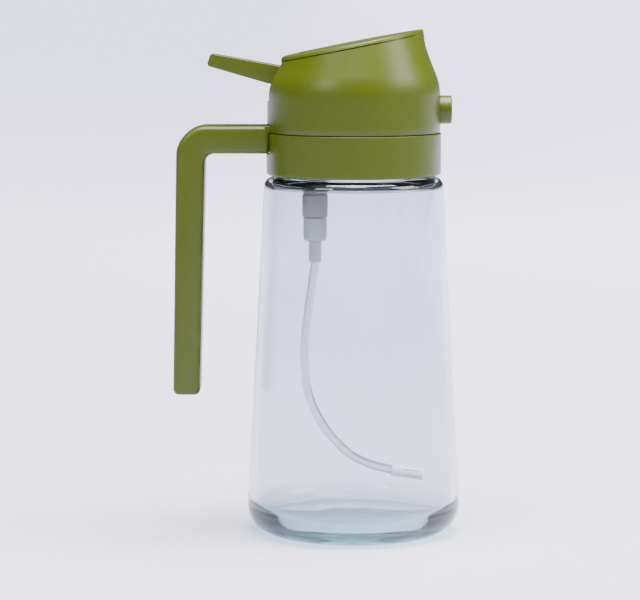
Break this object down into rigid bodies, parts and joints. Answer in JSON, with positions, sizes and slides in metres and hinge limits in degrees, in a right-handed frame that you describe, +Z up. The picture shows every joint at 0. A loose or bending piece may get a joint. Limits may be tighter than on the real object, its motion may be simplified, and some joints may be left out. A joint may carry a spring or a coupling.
{
  "type": "oil bottle",
  "caption": "Kitchen oil bottle: cone-shaped clear glass under a screw-on plastic head with handle, thumb lever, spray nozzle, pouring beak and flip lid.",
  "frame": {"origin": "centre of the bottle's flat base, on the surface it stands on", "axes": "+Z up along the bottle's axis, +X towards the spray nozzle and the pouring beak, -X towards the handle and the thumb lever"},
  "size_m": [0.1103, 0.082, 0.1939],
  "materials": {
    "clear_glass": "clear, polished",
    "green_plastic": "olive green moulded, satin",
    "grey_plastic": "satin",
    "white_plastic": "translucent natural",
    "tube_plastic": "translucent",
    "silicone": "matte",
    "steel": "bright"
  },
  "bodies": {
    "bottle": {"glass_bottle": "clear_glass"},
    "seal_ring": {"neck_gasket": "silicone"},
    "head": {"collar": "green_plastic", "handle": "green_plastic", "handle_screw_left": "steel", "handle_screw_right": "steel", "head_cover": "green_plastic", "pour_channel": "green_plastic", "lid_pin": "steel", "lever_pin": "steel", "pump_cylinder": "grey_plastic", "pump_gasket": "silicone", "pump_screw_left": "steel", "pump_screw_right": "steel", "plunger_guide": "white_plastic", "return_spring": "steel", "valve_housing": "white_plastic", "dip_tube": "tube_plastic", "intake_strainer": "white_plastic", "outlet_hose": "tube_plastic", "nozzle_body": "white_plastic", "nozzle_insert": "white_plastic", "nozzle_cap": "green_plastic"},
    "lever": {"thumb_lever": "green_plastic"},
    "plunger": {"plunger_rod": "white_plastic", "plunger_seal": "silicone"},
    "lid": {"flip_lid": "green_plastic", "lid_pad": "silicone"},
    "inlet_valve": {"inlet_ball": "steel"},
    "outlet_valve": {"outlet_ball": "steel"}
  },
  "joints": [
    {"name": "cap_rise", "type": "slide", "parent": "bottle", "child": "seal_ring", "axis": [0, 0, 1], "range_m": [0, 0.0045]},
    {"name": "cap_turn", "type": "hinge", "parent": "seal_ring", "child": "head", "pos_m": [0, 0, 0.145], "axis": [0, 0, 1], "range_deg": [0, 360]},
    {"name": "lever_press", "type": "hinge", "parent": "head", "child": "lever", "pos_m": [-0.001, 0, 0.17111], "axis": [0, -1, 0], "range_deg": [0, 12], "stiffness_Nm_per_rad": 1.5, "springref_deg": -8.59},
    {"name": "plunger_stroke", "type": "slide", "parent": "head", "child": "plunger", "axis": [0, 0, -1], "range_m": [0, 0.0029], "deforming": ["return_spring"]},
    {"name": "lid_open", "type": "hinge", "parent": "head", "child": "lid", "pos_m": [-0.01829, 0, 0.18379], "axis": [0, -1, 0], "range_deg": [0, 70]},
    {"name": "inlet_lift", "type": "slide", "parent": "head", "child": "inlet_valve", "axis": [0, 0, 1], "range_m": [0, 0.0008]},
    {"name": "outlet_lift", "type": "slide", "parent": "head", "child": "outlet_valve", "axis": [0, 0, 1], "range_m": [0, 0.0008]}
  ],
  "couplings": [
    {"joint": "cap_rise", "follows": "cap_turn", "m_per_rad": 0.0007162},
    {"joint": "plunger_stroke", "follows": "lever_press", "m_per_rad": 0.0138},
    {"joint": "outlet_lift", "follows": "lever_press", "m_per_rad": 0.00381}
  ]
}
